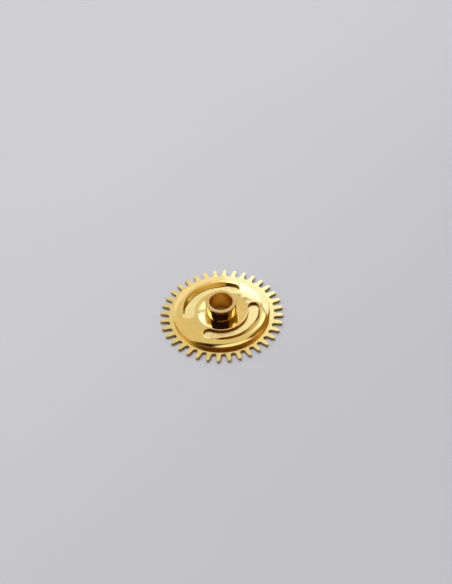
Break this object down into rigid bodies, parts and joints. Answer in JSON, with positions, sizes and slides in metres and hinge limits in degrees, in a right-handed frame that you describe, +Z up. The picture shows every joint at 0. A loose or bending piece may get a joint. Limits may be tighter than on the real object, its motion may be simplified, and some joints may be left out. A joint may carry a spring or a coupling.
{
  "type": "hour wheel",
  "caption": "Toothed hour wheel of a watch with a domed cover, two curved windows and a hollow hand pipe that jumps in hour steps.",
  "frame": {"origin": "on the wheel's axis at the underside of the toothed wheel, the middle of the bottom of the part's box", "axes": "+Z up the hour pipe towards the hour hand; +X to the right in the picture, close to the right jumper's stud; +Y away from the picture's camera"},
  "size_m": [0.006, 0.006, 0.001],
  "materials": {
    "satin_gold": "satin, fine grained, gilded",
    "polished_gold": "mirror polished, gilded",
    "grained_gold": "fine grained, gilded",
    "inner_brass": "satin",
    "stud_steel": "turned"
  },
  "bodies": {
    "wheel": {"toothed_wheel": "satin_gold", "cover_disc": "polished_gold", "left_stud": "stud_steel", "right_stud": "stud_steel"},
    "hour_pipe": {"hour_pipe": "polished_gold", "star_wheel": "inner_brass"},
    "left_jumper": {"left_jumper": "grained_gold"},
    "right_jumper": {"right_jumper": "grained_gold"}
  },
  "joints": [
    {"name": "hour_pipe_turn", "type": "hinge", "parent": "wheel", "child": "hour_pipe", "pos_m": [0, 0, 0], "axis": [0, 0, 1], "continuous": true},
    {"name": "left_jumper_flex", "type": "hinge", "parent": "wheel", "child": "left_jumper", "pos_m": [-0.00156, -0.00014, 0], "axis": [0, 0, 1], "range_deg": [0, 6], "stiffness_Nm_per_rad": 0.001},
    {"name": "right_jumper_flex", "type": "hinge", "parent": "wheel", "child": "right_jumper", "pos_m": [0.00156, 0.00014, 0], "axis": [0, 0, 1], "range_deg": [0, 6], "stiffness_Nm_per_rad": 0.001}
  ]
}
